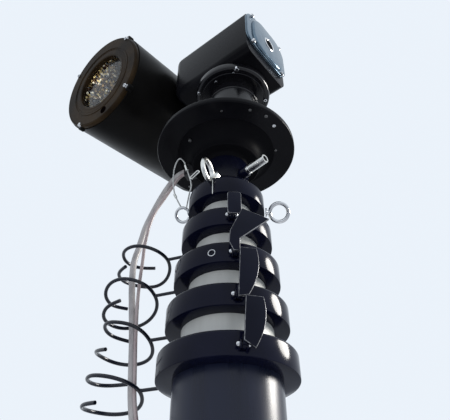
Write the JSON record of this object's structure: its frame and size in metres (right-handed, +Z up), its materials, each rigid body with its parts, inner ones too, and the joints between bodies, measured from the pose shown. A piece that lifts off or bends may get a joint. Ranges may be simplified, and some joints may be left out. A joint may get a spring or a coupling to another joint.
{
  "type": "telescopic light tower",
  "caption": "Bolt-down telescopic mast of nested tubes with collars, latch levers and coiled cable guides, topped by a platform and a pan and tilt head with one large lamp.",
  "frame": {"origin": "centre of the base plate's underside, on the mast's axis", "axes": "+Z up the mast; the latch levers face -Y and the coiled cable guides face -X"},
  "size_m": [0.6187, 0.6021, 2.8158],
  "materials": {
    "base_paint": "gloss black coating",
    "tube_coating": "off-white coating",
    "collar_anodising": "gloss black",
    "lever_anodising": "satin black",
    "head_paint": "satin black",
    "lamp_paint": "satin black",
    "bright_steel": "bright plated steel",
    "guide_coating": "black coated rod",
    "lead_sheath": "grey and pink sheaths",
    "black_plastic": "moulded black",
    "wire_rope": "stranded steel",
    "clear_glass": "clear toughened glass",
    "reflector_mirror": "bright facetted metal"
  },
  "bodies": {
    "base": {"base_plate": "base_paint", "base_tube": "base_paint", "collar_1": "collar_anodising", "lever_pin_1": "bright_steel", "cable_guide_1": "guide_coating", "lead_clips": "black_plastic", "base_glands": "black_plastic", "supply_leads_1": "lead_sheath"},
    "section_2": {"tube_2": "tube_coating", "collar_2": "collar_anodising", "lever_pin_2": "bright_steel", "cable_guide_2": "guide_coating", "supply_leads_2": "lead_sheath"},
    "section_3": {"tube_3": "tube_coating", "collar_3": "collar_anodising", "lever_pin_3": "bright_steel", "cable_guide_3": "guide_coating", "supply_leads_3": "lead_sheath"},
    "section_4": {"tube_4": "tube_coating", "collar_4": "collar_anodising", "lever_pin_4": "bright_steel", "cable_guide_4": "guide_coating", "supply_leads_4": "lead_sheath"},
    "section_5": {"tube_5": "tube_coating", "collar_5": "collar_anodising", "eye_bolt_right": "bright_steel", "eye_bolt_left": "bright_steel", "lanyard": "wire_rope", "supply_leads_5": "lead_sheath"},
    "top_section": {"tube_6": "tube_coating", "neck_hub": "head_paint", "tube_pin": "bright_steel", "ring_pin": "bright_steel", "platform": "head_paint", "pedestal": "head_paint", "hub_gland": "black_plastic", "supply_leads_6": "lead_sheath"},
    "pan_head": {"turntable": "head_paint", "tilt_housing": "head_paint", "housing_cap": "head_paint"},
    "lamp": {"lamp_body": "lamp_paint", "lamp_bezel": "lamp_paint", "lamp_glass": "clear_glass", "lamp_reflector": "reflector_mirror", "lamp_rear_cover": "lamp_paint", "tilt_spindle": "head_paint"},
    "lever_1": {"latch_lever_1": "lever_anodising"},
    "lever_2": {"latch_lever_2": "lever_anodising"},
    "lever_3": {"latch_lever_3": "lever_anodising"},
    "lever_4": {"latch_lever_4": "lever_anodising"}
  },
  "joints": [
    {"name": "section_2_slide", "type": "slide", "parent": "base", "child": "section_2", "axis": [0, 0, 1], "range_m": [0, 1.45]},
    {"name": "section_3_slide", "type": "slide", "parent": "section_2", "child": "section_3", "axis": [0, 0, 1], "range_m": [0, 1.45]},
    {"name": "section_4_slide", "type": "slide", "parent": "section_3", "child": "section_4", "axis": [0, 0, 1], "range_m": [0, 1.45]},
    {"name": "section_5_slide", "type": "slide", "parent": "section_4", "child": "section_5", "axis": [0, 0, 1], "range_m": [0, 1.45]},
    {"name": "section_6_slide", "type": "slide", "parent": "section_5", "child": "top_section", "axis": [0, 0, 1], "range_m": [0, 1.45]},
    {"name": "pan_turn", "type": "hinge", "parent": "top_section", "child": "pan_head", "pos_m": [0.018, -0.004, 2.5493], "axis": [0, 0, 1], "range_deg": [-170, 170]},
    {"name": "tilt_turn", "type": "hinge", "parent": "pan_head", "child": "lamp", "pos_m": [0.018, -0.004, 2.6585], "axis": [0.788, -0.6157, 0], "range_deg": [-98, 82]},
    {"name": "lever_1_swing", "type": "hinge", "parent": "base", "child": "lever_1", "pos_m": [0.022, -0.1187, 1.883], "axis": [0.9833, 0.1822, 0], "range_deg": [0, 45]},
    {"name": "lever_2_swing", "type": "hinge", "parent": "section_2", "child": "lever_2", "pos_m": [0.01644, -0.10998, 1.965], "axis": [0.989, 0.1478, 0], "range_deg": [0, 45]},
    {"name": "lever_3_swing", "type": "hinge", "parent": "section_3", "child": "lever_3", "pos_m": [0.01415, -0.10069, 2.047], "axis": [0.9903, 0.1392, 0], "range_deg": [0, 45]},
    {"name": "lever_4_swing", "type": "hinge", "parent": "section_4", "child": "lever_4", "pos_m": [0.00883, -0.09173, 2.129], "axis": [0.9954, 0.0958, 0], "range_deg": [0, 45]}
  ]
}
